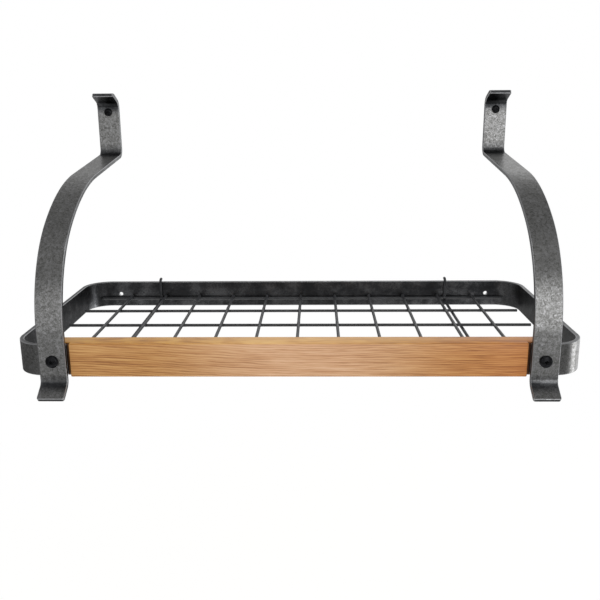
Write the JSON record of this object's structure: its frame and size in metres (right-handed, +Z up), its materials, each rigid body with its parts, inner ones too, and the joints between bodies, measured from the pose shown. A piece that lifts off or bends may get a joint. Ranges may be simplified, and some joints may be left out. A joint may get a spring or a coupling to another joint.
{
  "type": "wall-mounted pot rack",
  "caption": "Wall-mounted pot rack: a bent steel band tray with a wood front rail, hung on bowed flat-bar arms, with a loose wire grid that lifts out.",
  "frame": {"origin": "on the wall plane, midway between the two upper wall screws", "axes": "+X along the rack to the right as seen from the room, +Y into the wall, +Z up"},
  "size_m": [0.61, 0.3566, 0.3166],
  "materials": {
    "hammered_steel": "hammered grey, satin",
    "cherry_wood": "clear satin lacquer",
    "black_wire": "dark grey powder coat",
    "black_screw": "black oxide, satin",
    "zinc_steel": "zinc plated"
  },
  "bodies": {
    "frame": {"shelf_band": "hammered_steel", "front_rail": "cherry_wood", "left_arm": "hammered_steel", "right_arm": "hammered_steel", "left_hook_rod": "black_wire", "right_hook_rod": "black_wire", "left_arm_bolt": "black_screw", "right_arm_bolt": "black_screw", "left_bolt_washer": "zinc_steel", "right_bolt_washer": "zinc_steel", "left_bolt_nut": "zinc_steel", "right_bolt_nut": "zinc_steel", "left_wall_screw": "black_screw", "right_wall_screw": "black_screw"},
    "grid": {"grid_long_wire_1": "black_wire", "grid_long_wire_2": "black_wire", "grid_long_wire_3": "black_wire", "grid_long_wire_4": "black_wire", "grid_long_wire_5": "black_wire", "grid_cross_wire_1": "black_wire", "grid_cross_wire_2": "black_wire", "grid_cross_wire_3": "black_wire", "grid_cross_wire_4": "black_wire", "grid_cross_wire_5": "black_wire", "grid_cross_wire_6": "black_wire", "grid_cross_wire_7": "black_wire", "grid_cross_wire_8": "black_wire", "grid_cross_wire_9": "black_wire", "grid_cross_wire_10": "black_wire", "grid_cross_wire_11": "black_wire"}
  },
  "joints": [
    {"name": "grid_lift", "type": "slide", "parent": "frame", "child": "grid", "axis": [0, 0, 1], "range_m": [0, 0.06]}
  ]
}
